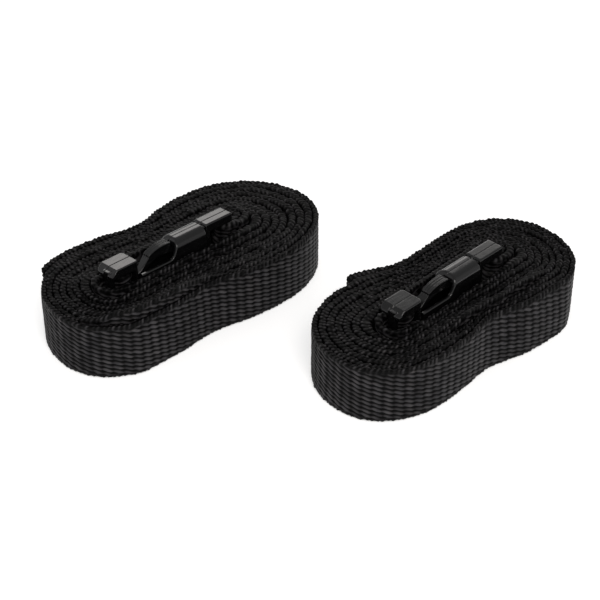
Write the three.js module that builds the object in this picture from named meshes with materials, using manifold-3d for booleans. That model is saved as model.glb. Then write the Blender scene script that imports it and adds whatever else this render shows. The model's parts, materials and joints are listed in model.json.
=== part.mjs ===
// A pair of lashing straps. Each is 25 mm webbing wound on edge round its own closed side-release
// buckle, with the free end left loose on the outside of the coil. Millimetres, +Z up, X along the
// buckles, Y to the back, origin at the middle of the pair on the surface it stands on.

import * as THREE from "three";
import { mergeVertices } from "three/addons/utils/BufferGeometryUtils.js";
import Module from "manifold-3d";

const wasm = await Module();
wasm.setup();

// ---- Driving dimensions ----

const GAP = 0.3; // between pieces that touch
const WEB_WIDTH = 25;
const WEB_THICK = 1.9;
const HALF_WEB = WEB_THICK / 2;
const PLY = WEB_THICK + GAP; // from the middle of one layer to the middle of the next, pressed together
const TURNS = 8; // passes of the webbing along the front of a coil
const TAIL_LENGTH = 42; // loose end that peels away from the coil

const BUCKLE_WIDTH = 34; // across the webbing, upright here
const BUCKLE_THICK = 11;
const HALF_BUCKLE = BUCKLE_THICK / 2;
const MID_Z = BUCKLE_WIDTH / 2;
const CHEEK = 3.9; // wall beyond each end of a webbing slot
const WEB_LIFT = MID_Z - WEB_WIDTH / 2; // height of the webbing's lower edge inside the buckle

const LOCK_LEFT = -32.5; // male half's ladder lock, from its outer end to its base wall
const LOCK_RIGHT = -19;
const LOCK_SLOT = 2.8;
const END_BAR = 2.9;
const GRIP_BAR = 3.2;
const HOUSING_LEFT = 1; // mouth of the female housing
const HOUSING_RIGHT = 17;
const SHIELD_LEFT = -17.8; // where the female half's two guide plates begin
const SHIELD_HALF = 9.5; // half their height
const WALL = 1.7;
const BLOCK_LEFT = 18; // female half's webbing block
const BLOCK_RIGHT = 32.5;
const BLOCK_HALF_THICK = 4;
const LOOP_BAR_X = 29.5;
const LOOP_BAR_HALF_X = 1.5;
const LOOP_BAR_HALF_Y = 1.8;

// Where each strap's buckle stands, how it is turned, and how its coil is shaped. The lobes are
// the coil's half widths left and right of its waist, to the middle of its outermost layer.
const STRAPS = {
  a: {
    x: -35.9, y: 45.83, yaw: -2.5, roll: 6.5, lift: 0.55,
    left: 56.9, right: 74.8,
    front: { lobes: [26.6, 28.4], waist: 3.0, at: 2 },
    back: { lobes: [33.4, 35.6], waist: 5.2, at: 6 },
    pocket: { layer: 6, from: -44, to: 16, pitch: 2.42, lift: 2 },
    tail: { x: -43, flare: 0.4 },
  },
  b: {
    x: 26.4, y: -50.57, yaw: 0, roll: 0, lift: 0,
    left: 61.3, right: 66.4,
    front: { lobes: [27.1, 30.2], waist: 3.8, at: 1 },
    back: { lobes: [33.8, 28.3], waist: 3.4, at: 3 },
    pocket: { layer: 4, from: -8, to: 50, pitch: 2.35, lift: 0 },
    tail: { x: -18.8, flare: 2.2 },
  },
};

const PLASTIC = { color: 0x17171a, roughness: 0.32, metalness: 0 };
const WEBBING = { color: 0x1b1a1c, roughness: 0.82, metalness: 0 };
const THREAD = { color: 0x141416, roughness: 0.7, metalness: 0 };

// ---- Helpers ----

const lerp = (a, b, t) => a + (b - a) * t;
const ease = (t) => THREE.MathUtils.smoothstep(t, 0, 1);
const radians = THREE.MathUtils.degToRad;

/** Turns a closed geometry into a solid for cutting and joining. */
function toSolid(geometry) {
  const bare = geometry.clone();
  bare.deleteAttribute("normal");
  bare.deleteAttribute("uv");
  const merged = mergeVertices(bare, 1e-4);
  return new wasm.Manifold(new wasm.Mesh({
    numProp: 3,
    vertProperties: new Float32Array(merged.attributes.position.array),
    triVerts: new Uint32Array(merged.index.array),
  }));
}

/** Turns a solid back into a geometry. */
function toGeometry(solid) {
  const mesh = solid.getMesh();
  const geometry = new THREE.BufferGeometry();
  geometry.setAttribute("position", new THREE.BufferAttribute(new Float32Array(mesh.vertProperties), 3));
  geometry.setIndex(new THREE.BufferAttribute(new Uint32Array(mesh.triVerts), 1));
  geometry.computeVertexNormals();
  return geometry;
}

/** A box between two corners. */
function block(x0, x1, y0, y1, z0, z1) {
  const box = new THREE.BoxGeometry(x1 - x0, y1 - y0, z1 - z0);
  box.translate((x0 + x1) / 2, (y0 + y1) / 2, (z0 + z1) / 2);
  return toSolid(box);
}

/** A rectangle with rounded corners, as a shape in its own plane. */
function roundedRect(x0, x1, y0, y1, r) {
  const shape = new THREE.Shape();
  shape.moveTo(x0 + r, y0);
  shape.lineTo(x1 - r, y0);
  shape.absarc(x1 - r, y0 + r, r, -Math.PI / 2, 0);
  shape.lineTo(x1, y1 - r);
  shape.absarc(x1 - r, y1 - r, r, 0, Math.PI / 2);
  shape.lineTo(x0 + r, y1);
  shape.absarc(x0 + r, y1 - r, r, Math.PI / 2, Math.PI);
  shape.lineTo(x0, y0 + r);
  shape.absarc(x0 + r, y0 + r, r, Math.PI, 1.5 * Math.PI);
  return shape;
}

/** A shape drawn in X and Z, carried through the thickness y0 to y1. */
function plateXZ(shape, y0, y1, curveSegments = 5) {
  const geometry = new THREE.ExtrudeGeometry(shape, { depth: y1 - y0, bevelEnabled: false, curveSegments });
  geometry.rotateX(Math.PI / 2);
  geometry.translate(0, y1, 0);
  return toSolid(geometry);
}

/** A shape drawn in X and Y, carried up from z0 to z1. */
function postXY(shape, z0, z1, curveSegments = 3) {
  const geometry = new THREE.ExtrudeGeometry(shape, { depth: z1 - z0, bevelEnabled: false, curveSegments });
  geometry.translate(0, 0, z0);
  return toSolid(geometry);
}

/** A shape drawn in Y and Z, carried along from x0 to x1. */
function barYZ(shape, x0, x1, curveSegments = 6) {
  const geometry = new THREE.ExtrudeGeometry(shape, { depth: x1 - x0, bevelEnabled: false, curveSegments });
  geometry.rotateY(Math.PI / 2);
  geometry.rotateX(Math.PI / 2);
  geometry.translate(x0, 0, 0);
  return toSolid(geometry);
}

/** A section that is a tall rectangle with rounded ends, centred on the buckle's middle. */
const tallSection = (halfThick, halfTall, r) =>
  roundedRect(-halfThick, halfThick, MID_Z - halfTall, MID_Z + halfTall, r);

// ---- Buckle ----

/** Half of the female half's side outline: the housing sweeps down to the guide plates. */
function femaleOutline() {
  const top = MID_Z;
  const shape = new THREE.Shape();
  shape.moveTo(SHIELD_LEFT, MID_Z - SHIELD_HALF);
  shape.lineTo(-3.4, MID_Z - SHIELD_HALF);
  shape.bezierCurveTo(0.8, MID_Z - SHIELD_HALF, 0.6, MID_Z - top, HOUSING_LEFT + 2, MID_Z - top);
  shape.lineTo(HOUSING_RIGHT, MID_Z - top);
  shape.lineTo(HOUSING_RIGHT, MID_Z + top);
  shape.lineTo(HOUSING_LEFT + 2, MID_Z + top);
  shape.bezierCurveTo(0.6, MID_Z + top, 0.8, MID_Z + SHIELD_HALF, -3.4, MID_Z + SHIELD_HALF);
  shape.lineTo(SHIELD_LEFT, MID_Z + SHIELD_HALF);
  return shape;
}

/** The cavity seen from the side: open at the left, with a sloped catch inside each side wall. */
function femaleCavity() {
  const shape = new THREE.Shape();
  const mouth = 14; // half height of the mouth
  const inside = 15.6; // half height behind the catch
  shape.moveTo(SHIELD_LEFT - 1, MID_Z - mouth);
  shape.lineTo(3.4, MID_Z - mouth);
  shape.lineTo(5.4, MID_Z - inside);
  shape.lineTo(14.5, MID_Z - inside);
  shape.lineTo(14.5, MID_Z + inside);
  shape.lineTo(5.4, MID_Z + inside);
  shape.lineTo(3.4, MID_Z + mouth);
  shape.lineTo(SHIELD_LEFT - 1, MID_Z + mouth);
  return shape;
}

/** Female half: housing with guide plates, and the block whose bar holds the sewn loop. */
function femaleHalf() {
  const rounding = 4.2; // the housing's long edges are nearly half round
  const housing = barYZ(tallSection(HALF_BUCKLE, MID_Z, rounding), SHIELD_LEFT, HOUSING_RIGHT)
    .intersect(plateXZ(femaleOutline(), -HALF_BUCKLE - 1, HALF_BUCKLE + 1))
    .subtract(plateXZ(femaleCavity(), -HALF_BUCKLE + WALL, HALF_BUCKLE - WALL));
  const neck = block(HOUSING_RIGHT - 1, BLOCK_LEFT + 1, -3, 3, 1, BUCKLE_WIDTH - 1);
  const slot = block(BLOCK_LEFT + 2, BLOCK_RIGHT + 1, -9, 9, CHEEK, BUCKLE_WIDTH - CHEEK);
  const tackle = barYZ(tallSection(BLOCK_HALF_THICK, MID_Z, 0.8), BLOCK_LEFT, BLOCK_RIGHT).subtract(slot);
  const barShape = roundedRect(
    LOOP_BAR_X - LOOP_BAR_HALF_X, LOOP_BAR_X + LOOP_BAR_HALF_X, -LOOP_BAR_HALF_Y, LOOP_BAR_HALF_Y, 1.3,
  );
  const bar = postXY(barShape, 1, BUCKLE_WIDTH - 1);
  return toGeometry(housing.add(neck).add(tackle).add(bar));
}

/** Male half: ladder lock with its two bars, base wall and the middle guide tongue. */
function maleHalf() {
  const outline = new THREE.Shape();
  const chamfer = 1.6;
  outline.moveTo(LOCK_LEFT + chamfer, 0);
  outline.lineTo(LOCK_RIGHT, 0);
  outline.lineTo(LOCK_RIGHT, BUCKLE_WIDTH);
  outline.lineTo(LOCK_LEFT + chamfer, BUCKLE_WIDTH);
  outline.lineTo(LOCK_LEFT, BUCKLE_WIDTH - chamfer * 1.6);
  outline.lineTo(LOCK_LEFT, chamfer * 1.6);
  const section = roundedRect(LOCK_LEFT, LOCK_RIGHT, -HALF_BUCKLE, HALF_BUCKLE, 1.4);
  const frame = plateXZ(outline, -HALF_BUCKLE, HALF_BUCKLE)
    .intersect(postXY(section, -1, BUCKLE_WIDTH + 1))
    .subtract(block(LOCK_LEFT - 1, LOCK_RIGHT - 1.8, -9, 9, CHEEK, BUCKLE_WIDTH - CHEEK));
  const gripLeft = LOCK_LEFT + END_BAR + LOCK_SLOT;
  const endBar = postXY(roundedRect(LOCK_LEFT, LOCK_LEFT + END_BAR, -3, 1.2, 1.2), 1, BUCKLE_WIDTH - 1);
  const gripBar = postXY(roundedRect(gripLeft, gripLeft + GRIP_BAR, -1.8, 2.2, 1.1), 1, BUCKLE_WIDTH - 1);
  const tongueHalf = 3.4;
  const tongue = block(LOCK_RIGHT - 1, 9, -1.5, 1.5, MID_Z - tongueHalf, MID_Z + tongueHalf);
  return toGeometry(frame.add(endBar).add(gripBar).add(tongue));
}

const ARM_ROOT = new THREE.Vector3(LOCK_RIGHT + GAP, 0, MID_Z + 6.8); // middle of an arm's living hinge

/** One spring arm: neck, ribbed squeeze pad and the barbed tip inside the housing. */
function springArm() {
  const root = ARM_ROOT.x;
  const half = 1.2; // half the neck's thickness at the root
  const top = MID_Z;
  const side = new THREE.Shape();
  side.moveTo(root, ARM_ROOT.z + half);
  side.bezierCurveTo(-15.6, top + 8.8, -14.4, top + 10.4, -11.4, top + 13.5);
  side.lineTo(-11.2, top + 14.2);
  side.bezierCurveTo(-8.4, top + 15.8, -4, top + 16.6, 0.3, top + 16);
  side.lineTo(0.3, top + 13.4);
  side.lineTo(4.1, top + 13.4);
  side.lineTo(5.9, top + 14.8);
  side.lineTo(9.6, top + 12.8);
  side.lineTo(9.6, top + 11.6);
  side.lineTo(1, top + 11);
  side.bezierCurveTo(-4, top + 12.6, -9, top + 12, -12.2, top + 9.4);
  side.bezierCurveTo(-14.4, top + 7.4, -15.8, top + 6.2, root, ARM_ROOT.z - half);
  const plan = new THREE.Shape();
  plan.moveTo(root - 1, -1.6);
  plan.lineTo(-12, -1.8);
  plan.lineTo(1, -2.4);
  plan.lineTo(10, -1.6);
  plan.lineTo(10, 1.6);
  plan.lineTo(1, 2.4);
  plan.lineTo(-12, 1.8);
  plan.lineTo(root - 1, 1.6);
  return toGeometry(plateXZ(side, -4, 4, 6).intersect(postXY(plan, MID_Z, BUCKLE_WIDTH + 2)));
}

// ---- Webbing route, seen from above ----

/** Rounds the corners of a route. Each entry is x, y and the corner's radius. */
function roundedRoute(corners, stepAngle = radians(18)) {
  const route = [];
  corners.forEach(([x, y, radius], i) => {
    const here = new THREE.Vector2(x, y);
    if (!radius) {
      route.push(here);
      return;
    }
    const into = here.clone().sub(new THREE.Vector2(...corners[i - 1])).normalize();
    const out = new THREE.Vector2(...corners[i + 1]).sub(here).normalize();
    const turn = Math.atan2(into.cross(out), into.dot(out));
    const setback = radius * Math.tan(Math.abs(turn) / 2);
    const start = here.clone().addScaledVector(into, -setback);
    const side = new THREE.Vector2(-into.y, into.x).multiplyScalar(Math.sign(turn));
    const centre = start.clone().addScaledVector(side, radius);
    const steps = Math.max(2, Math.ceil(Math.abs(turn) / stepAngle));
    for (let k = 0; k <= steps; k += 1) {
      route.push(start.clone().rotateAround(centre, (turn * k) / steps));
    }
  });
  return route;
}

const BEND_X = 38.5; // where the sewn end turns back towards the buckle
const INNER_BEND = 3.2;
const RUN_Y = 7.6; // the first layer beside the buckle
const SLOT_2 = LOCK_RIGHT - 1.8 - LOCK_SLOT / 2;
const SLOT_1 = SLOT_2 - LOCK_SLOT - GRIP_BAR;
const JOIN_X = -24; // where the threaded part becomes the coil
const STEPS_PER_TURN = 40;
const END_SHARE = 0.125; // share of a turn on each side of an end's middle
const FIRST_TURN = END_SHARE + (0.5 - 2 * END_SHARE) * ((JOIN_X + 32) / 70.5);

/** From the sewn-down end, round the loop bar, back along the buckle and through the lock. */
function threadedRoute() {
  const half = PLY / 2;
  const barSide = LOOP_BAR_HALF_Y + GAP + HALF_WEB;
  const outer = INNER_BEND + PLY;
  const bendY = half + INNER_BEND;
  const inside = LOOP_BAR_X - LOOP_BAR_HALF_X - GAP - HALF_WEB - 0.1;
  const gripFront = -1.8 - GAP - HALF_WEB;
  return roundedRoute([
    [33.5, bendY + INNER_BEND, 0],
    [BEND_X + INNER_BEND, bendY + INNER_BEND, INNER_BEND - 0.01],
    [BEND_X + INNER_BEND, half, INNER_BEND - 0.01],
    [36.2, half, 3],
    [32.6, barSide, 4],
    [inside, barSide, barSide - 0.02],
    [inside, -barSide, barSide - 0.02],
    [32.6, -barSide, 4],
    [36.2, -half, 3],
    [BEND_X + outer, -half, outer - 0.01],
    [BEND_X + outer, bendY + outer, outer - 0.01],
    [31, bendY + outer, 12],
    [21, RUN_Y, 12],
    [SLOT_2, RUN_Y, 2.6],
    [SLOT_2, gripFront, 2.2],
    [SLOT_1, gripFront, 2.2],
    [SLOT_1, 2.7, 2],
    [-37.6, 2.7, 4.2],
    [-37.6, -RUN_Y, 5.9],
    [JOIN_X, -RUN_Y, 0],
  ]);
}

/** Half width of one side of the coil at x for layer k, out of the layers 0 to TURNS - 1. */
function sideWidth(first, side, k, x) {
  const across = ease((x + 26) / 52);
  const inner = lerp(first[0], first[1], across);
  const waist = side.waist * Math.exp(-(((x - side.at) / 15) ** 2));
  const outer = lerp(side.lobes[0], side.lobes[1], across) - waist;
  return lerp(inner, outer, k / (TURNS - 1));
}

/** The coil's route: turn counts the turns made since the left end. */
function coilPoint(strap, turn) {
  const phase = ((turn % 1) + 1) % 1;
  const side = phase < 0.5 ? -1 : 1;
  const k = turn - (side < 0 ? 0.25 : 0.75);
  const first = side < 0 ? [RUN_Y, RUN_Y] : [10.1, 12.5];
  const shape = side < 0 ? strap.front : strap.back;
  const reachLeft = lerp(40.6, strap.left, (turn - 1) / (TURNS - 2));
  const reachRight = lerp(BEND_X + INNER_BEND + PLY * 2 + 0.8, strap.right, (turn - 0.5) / (TURNS - 1));
  const growth = THREE.MathUtils.clamp(turn / TURNS, 0, 1);
  const cornerLeft = -lerp(32, 27, growth);
  const cornerRight = lerp(38.5, 33, growth);
  const squareness = lerp(0.84, 0.94, growth);
  let x;
  let share = 1; // of the side's half width
  const fromLeft = phase < 0.5 ? phase : 1 - phase;
  const fromRight = Math.abs(phase - 0.5);
  if (fromLeft < END_SHARE) {
    const angle = (fromLeft / END_SHARE) * (Math.PI / 2);
    x = cornerLeft - (reachLeft + cornerLeft) * Math.cos(angle) ** squareness;
    share = Math.sin(angle) ** squareness;
  } else if (fromRight < END_SHARE) {
    const angle = (fromRight / END_SHARE) * (Math.PI / 2);
    x = cornerRight + (reachRight - cornerRight) * Math.cos(angle) ** squareness;
    share = Math.sin(angle) ** squareness;
  } else {
    x = lerp(cornerLeft, cornerRight, (fromLeft - END_SHARE) / (0.5 - 2 * END_SHARE));
  }
  let y = sideWidth(first, shape, k, x) * share;
  if (side < 0) {
    y = lerp(y, packedWidth(strap, k, x, y), pocketShare(strap.pocket, x));
  }
  return new THREE.Vector2(x, side * y);
}

/** How fully the slack pocket on the front of the coil is open at x. */
function pocketShare(pocket, x) {
  const fade = 12;
  return ease((x - pocket.from) / fade) * ease((pocket.to - x) / fade);
}

/** Half width with the layers inside the pocket pressed together and those outside it kept. */
function packedWidth(strap, k, x, y) {
  const { layer, pitch } = strap.pocket;
  if (k < layer + 0.5) {
    return Math.min(y, RUN_Y + GAP + pitch * k);
  }
  return Math.max(y, sideWidth([RUN_Y, RUN_Y], strap.front, TURNS - 1, x) - pitch * (TURNS - 1 - k));
}

/** Height of the webbing's lower edge above the surface that the strap stands on. */
function edgeHeight(strap, x, turn) {
  const pocket = strap.pocket;
  if (turn > pocket.layer && turn < pocket.layer + 0.5) {
    return pocket.lift * pocketShare(pocket, x);
  }
  return 0;
}

/** Every station along the webbing: its place, the height of its lower edge and its lean. */
function webbingStations(strap) {
  const stations = threadedRoute().map((at) => ({ at, turn: FIRST_TURN }));
  const lockExit = stations.findIndex(({ at }) => at.x < SLOT_1 - 2.5);
  const count = Math.ceil((TURNS - FIRST_TURN) * STEPS_PER_TURN);
  for (let i = 1; i <= count; i += 1) {
    const turn = FIRST_TURN + i / STEPS_PER_TURN;
    const at = coilPoint(strap, turn);
    const onTail = turn > TURNS - 0.5;
    if (onTail) {
      at.y += strap.tail.flare * ease((strap.back.at - at.x) / (strap.back.at - strap.tail.x));
    }
    if (onTail && at.x < strap.tail.x) {
      const last = stations[stations.length - 1].at;
      at.lerp(last, (strap.tail.x - at.x) / (last.x - at.x));
      stations.push({ at, turn });
      break;
    }
    stations.push({ at, turn });
  }
  let sinceLock = 0;
  return stations.map(({ at, turn }, i) => {
    if (i > lockExit) {
      sinceLock += at.distanceTo(stations[i - 1].at);
    }
    const sunk = ease(sinceLock / 55); // how far the webbing has come down from the buckle's slots
    return {
      x: at.x,
      y: at.y,
      z: lerp(WEB_LIFT + strap.lift, edgeHeight(strap, at.x, turn), sunk),
      lean: Math.tan(radians(strap.roll)) * THREE.MathUtils.clamp(1 - (turn - 0.3) / (TURNS - 1), 0, 1),
      held: 1 - ease(sinceLock / 25), // how far it still follows the buckle's own tilt
      roll: radians(strap.roll),
    };
  });
}

/** The point a given distance back from the end of the route, as two new stations a gap apart. */
function splitTail(stations) {
  const total = [0];
  stations.slice(1).forEach((s, i) => {
    total.push(total[i] + Math.hypot(s.x - stations[i].x, s.y - stations[i].y));
  });
  const cut = total[total.length - 1] - TAIL_LENGTH;
  const stationAt = (distance) => {
    const i = total.findIndex((t) => t > distance) - 1;
    const share = (distance - total[i]) / (total[i + 1] - total[i]);
    const between = {};
    Object.keys(stations[i]).forEach((key) => {
      between[key] = lerp(stations[i][key], stations[i + 1][key], share);
    });
    return between;
  };
  const before = stations.filter((s, i) => total[i] < cut - 1);
  const after = stations.filter((s, i) => total[i] > cut + 1);
  return {
    wound: [...before, stationAt(cut - GAP / 2)],
    loose: [stationAt(cut + GAP / 2), ...after],
    hinge: stationAt(cut),
  };
}

/** A closed strip of webbing through the stations. */
function strip(stations) {
  const positions = [];
  const indices = [];
  const corners = [[-1, 0], [1, 0], [1, 1], [-1, 1]];
  stations.forEach((s, i) => {
    const before = stations[Math.max(i - 1, 0)];
    const after = stations[Math.min(i + 1, stations.length - 1)];
    const along = new THREE.Vector2(after.x - before.x, after.y - before.y).normalize();
    const out = { x: along.y, y: -along.x };
    corners.forEach(([across, up]) => {
      const x = s.x + out.x * HALF_WEB * across;
      const y = s.y + out.y * HALF_WEB * across;
      const z = s.z + WEB_WIDTH * up;
      const shift = s.lean * (z - MID_Z);
      positions.push(
        x + shift * out.x * out.y * (1 - s.held),
        y + shift * lerp(out.y * out.y, 1, s.held),
        z - y * Math.sin(s.roll) * s.held,
      );
    });
  });
  const quad = (a, b, c, d) => indices.push(a, b, c, a, c, d);
  for (let i = 0; i + 1 < stations.length; i += 1) {
    for (let k = 0; k < corners.length; k += 1) {
      const n = (k + 1) % corners.length;
      quad(4 * i + k, 4 * i + 4 + k, 4 * i + 4 + n, 4 * i + n);
    }
  }
  const end = 4 * (stations.length - 1);
  quad(0, 1, 2, 3);
  quad(end + 3, end + 2, end + 1, end);
  const geometry = new THREE.BufferGeometry();
  geometry.setAttribute("position", new THREE.Float32BufferAttribute(positions, 3));
  geometry.setIndex(indices);
  geometry.computeVertexNormals();
  return geometry;
}

/** The dense bar of thread that holds the sewn-down end, on the front of the doubled webbing. */
function barTack() {
  const face = -(PLY / 2 + HALF_WEB + GAP);
  const margin = 2;
  return toGeometry(block(37.1, 38.4, face - 0.5, face, WEB_LIFT + margin, WEB_LIFT + WEB_WIDTH - margin));
}

// ---- Assembly ----

const finish = (look) => new THREE.MeshStandardMaterial(look);

function named(name, geometry, look) {
  const mesh = new THREE.Mesh(geometry, finish(look));
  mesh.name = name;
  return mesh;
}

/** One strap: its buckle in a tilted frame of its own, and its webbing. */
function buildStrap(letter, strap) {
  const group = new THREE.Group();
  group.position.set(strap.x, strap.y, 0);
  group.rotation.z = radians(strap.yaw);

  const buckle = new THREE.Group();
  buckle.position.z = MID_Z + strap.lift;
  buckle.rotation.x = -radians(strap.roll);
  const centred = new THREE.Group();
  centred.position.z = -MID_Z;
  buckle.add(centred);
  centred.add(named(`female_half_${letter}`, femaleHalf(), PLASTIC));
  centred.add(named(`male_half_${letter}`, maleHalf(), PLASTIC));
  centred.add(named(`bar_tack_${letter}`, barTack(), THREAD));
  centred.add(named(`spring_arm_upper_${letter}`, springArm(), PLASTIC));
  const lower = named(`spring_arm_lower_${letter}`, springArm(), PLASTIC);
  lower.rotation.x = Math.PI;
  lower.position.z = BUCKLE_WIDTH;
  centred.add(lower);
  group.add(buckle);

  const { wound, loose } = splitTail(webbingStations(strap));
  group.add(named(`webbing_${letter}`, strip(wound), WEBBING));
  group.add(named(`webbing_tail_${letter}`, strip(loose), WEBBING));
  return group;
}

const pair = new THREE.Group();
Object.entries(STRAPS).forEach(([letter, strap]) => pair.add(buildStrap(letter, strap)));
pair.updateMatrixWorld(true);

export default pair;
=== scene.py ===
"""Pair of coiled buckle straps: the detailed visual layer. Shapes are worked out in millimetres."""

import json
import math

import bmesh
import bpy
import numpy as np
from mathutils import Matrix, Vector


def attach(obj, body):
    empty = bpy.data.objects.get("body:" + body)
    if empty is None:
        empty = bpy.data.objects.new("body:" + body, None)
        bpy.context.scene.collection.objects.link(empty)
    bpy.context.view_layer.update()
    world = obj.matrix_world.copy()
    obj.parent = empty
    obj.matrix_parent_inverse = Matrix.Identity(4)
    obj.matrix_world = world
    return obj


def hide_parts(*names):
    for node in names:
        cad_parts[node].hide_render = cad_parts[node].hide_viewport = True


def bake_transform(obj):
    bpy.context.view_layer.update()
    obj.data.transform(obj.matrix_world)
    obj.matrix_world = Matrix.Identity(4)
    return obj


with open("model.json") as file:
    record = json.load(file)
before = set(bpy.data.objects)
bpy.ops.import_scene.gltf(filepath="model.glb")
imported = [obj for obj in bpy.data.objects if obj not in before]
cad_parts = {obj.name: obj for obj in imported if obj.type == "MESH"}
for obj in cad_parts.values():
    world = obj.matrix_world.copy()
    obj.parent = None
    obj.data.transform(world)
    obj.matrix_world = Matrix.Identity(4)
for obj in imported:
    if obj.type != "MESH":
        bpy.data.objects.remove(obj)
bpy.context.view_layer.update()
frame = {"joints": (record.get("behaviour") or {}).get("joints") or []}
MM = 0.001

# ---- Dimensions, in millimetres ----

GAP = 0.3  # between pieces that touch
WEB_WIDTH = 25.0
WEB_THICK = 1.9
PLY = WEB_THICK + GAP
TURNS = 8
TAIL_LENGTH = 42.0

WIDTH = 34.0  # of the buckle, across the webbing
HALF_THICK = 5.5
MID_Z = WIDTH / 2
CHEEK = 3.9
WEB_LIFT = MID_Z - WEB_WIDTH / 2

LOCK_LEFT = -32.5
LOCK_RIGHT = -19.0
LOCK_SLOT = 2.8
END_BAR = 2.9
GRIP_BAR = 3.2
HOUSING_RIGHT = 17.0
SHIELD_LEFT = -17.8
SHIELD_HALF = 9.5
WALL = 1.7
BLOCK_LEFT = 18.0
BLOCK_RIGHT = 32.5
BLOCK_HALF_THICK = 4.0
LOOP_BAR_X = 29.5
ARM_ROOT = (LOCK_RIGHT + GAP, MID_Z + 6.8)

YARN = WEB_WIDTH / 24  # height of one warp yarn's place on a face
FLOAT = 8.3  # a warp yarn comes to the face once in this length
PICK = FLOAT / 4  # from one weft pick to the next

# Each coil: its roll in degrees, how far it reaches to either side of the buckle and how far its inner
# turns rise beside it. Its front and back each have two lobes, given by their distance from the buckle,
# with a waist between them. In the pocket some layers of the front stand apart and higher, and those
# outside them fold inwards.
STRAPS = {
    "a": dict(
        roll=6.5, left=56.9, right=74.8, rise=2.4,
        front=dict(lobes=(26.6, 28.4), waist=3.0, at=2),
        back=dict(lobes=(33.4, 35.6), waist=5.2, at=6),
        pocket=dict(layer=6, start=-44, end=16, pitch=2.6, lift=5.5, fold=1.2),
        tail=dict(x=-43, flare=0.4),
    ),
    "b": dict(
        roll=0.0, left=61.3, right=66.4, rise=0.6,
        front=dict(lobes=(27.1, 30.2), waist=3.8, at=1),
        back=dict(lobes=(33.8, 28.3), waist=3.4, at=3),
        pocket=dict(layer=4, start=-8, end=50, pitch=2.8, lift=3, fold=2.2),
        tail=dict(x=-18.8, flare=2.2),
    ),
}


# ---- Small helpers ----

def lerp(a, b, t):
    return a + (b - a) * t


def ease(t):
    t = np.clip(t, 0, 1)
    return t * t * (3 - 2 * t)


def step(low, high, value):
    return ease((value - low) / (high - low))


def drift(s, wavelength, seed):
    """Smooth random values from -1 to 1 along s."""
    values = np.random.RandomState(seed).uniform(-1, 1, int(np.max(s) / wavelength) + 4)
    place = np.asarray(s) / wavelength
    i = np.floor(place).astype(int)
    return lerp(values[i], values[i + 1], ease(place - i))


def scatter(a, b):
    """A fixed random value from 0 to 1 for each pair of whole numbers."""
    v = np.sin(a * 12.9898 + b * 78.233) * 43758.5453
    return v - np.floor(v)


def joint(name):
    return next(j for j in frame["joints"] if j["name"] == name)


def buckle_frame(letter):
    """The buckle's place, from its joints: the slide runs along its X and the arms turn about its Y."""
    upper = joint(f"squeeze_upper_{letter}")
    lower = joint(f"squeeze_lower_{letter}")
    x_axis = Vector(joint(f"release_{letter}")["axis"]).normalized()
    y_axis = Vector(upper["axis"]).normalized()
    z_axis = x_axis.cross(y_axis)
    middle = (Vector(upper["pos_m"]) + Vector(lower["pos_m"])) / 2 - x_axis * ARM_ROOT[0] * MM
    turn = Matrix((x_axis, y_axis, z_axis)).transposed().to_4x4()
    return Matrix.Translation(middle) @ turn @ Matrix.Translation((0, 0, -MID_Z * MM))


# ---- Webbing route, seen from above ----

BEND_X = 38.5  # centre of the bends past the webbing block
INNER_BEND = 3.2
RUN_Y = 7.6  # from the buckle's middle to the webbing that runs along it
SLOT_2 = LOCK_RIGHT - 1.8 - LOCK_SLOT / 2
SLOT_1 = SLOT_2 - LOCK_SLOT - GRIP_BAR
JOIN_X = -24  # where the threaded stretch joins the coil
END_SHARE = 0.125  # of a turn that half a round end takes up
FIRST_TURN = END_SHARE + (0.5 - 2 * END_SHARE) * ((JOIN_X + 32) / 70.5)


def rounded_route(corners):
    """Points along a route whose corners are rounded: each entry is x, y and radius."""
    route = []
    for i, (x, y, radius) in enumerate(corners):
        here = np.array([x, y], float)
        if not radius:
            route.append(here)
            continue
        into = here - np.array(corners[i - 1][:2], float)
        into /= np.linalg.norm(into)
        out = np.array(corners[i + 1][:2], float) - here
        out /= np.linalg.norm(out)
        turn = math.atan2(into[0] * out[1] - into[1] * out[0], into @ out)
        start = here - into * radius * math.tan(abs(turn) / 2)
        centre = start + np.array([-into[1], into[0]]) * math.copysign(radius, turn)
        steps = max(3, math.ceil(abs(turn) / math.radians(5)))
        for k in range(steps + 1):
            c, s = math.cos(turn * k / steps), math.sin(turn * k / steps)
            dx, dy = start - centre
            route.append(centre + np.array([c * dx - s * dy, s * dx + c * dy]))
    return np.array(route)


def threaded_route():
    """From the sewn-down end, round the loop bar, back along the buckle and through the lock."""
    half = PLY / 2
    bar_side = 1.8 + GAP + WEB_THICK / 2
    outer = INNER_BEND + PLY
    bend_y = half + INNER_BEND
    inside = LOOP_BAR_X - 1.5 - GAP - WEB_THICK / 2 - 0.1
    grip_front = -1.8 - GAP - WEB_THICK / 2
    return rounded_route([
        (33.5, bend_y + INNER_BEND, 0),
        (BEND_X + INNER_BEND, bend_y + INNER_BEND, INNER_BEND - 0.01),
        (BEND_X + INNER_BEND, half, INNER_BEND - 0.01),
        (36.2, half, 3),
        (32.6, bar_side, 4),
        (inside, bar_side, bar_side - 0.02),
        (inside, -bar_side, bar_side - 0.02),
        (32.6, -bar_side, 4),
        (36.2, -half, 3),
        (BEND_X + outer, -half, outer - 0.01),
        (BEND_X + outer, bend_y + outer, outer - 0.01),
        (31, bend_y + outer, 12),
        (21, RUN_Y, 12),
        (SLOT_2, RUN_Y, 2.6),
        (SLOT_2, grip_front, 2.2),
        (SLOT_1, grip_front, 2.2),
        (SLOT_1, 2.7, 2),
        (-37.6, 2.7, 4.2),
        (-37.6, -RUN_Y, 5.9),
        (JOIN_X, -RUN_Y, 0),
    ])


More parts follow.
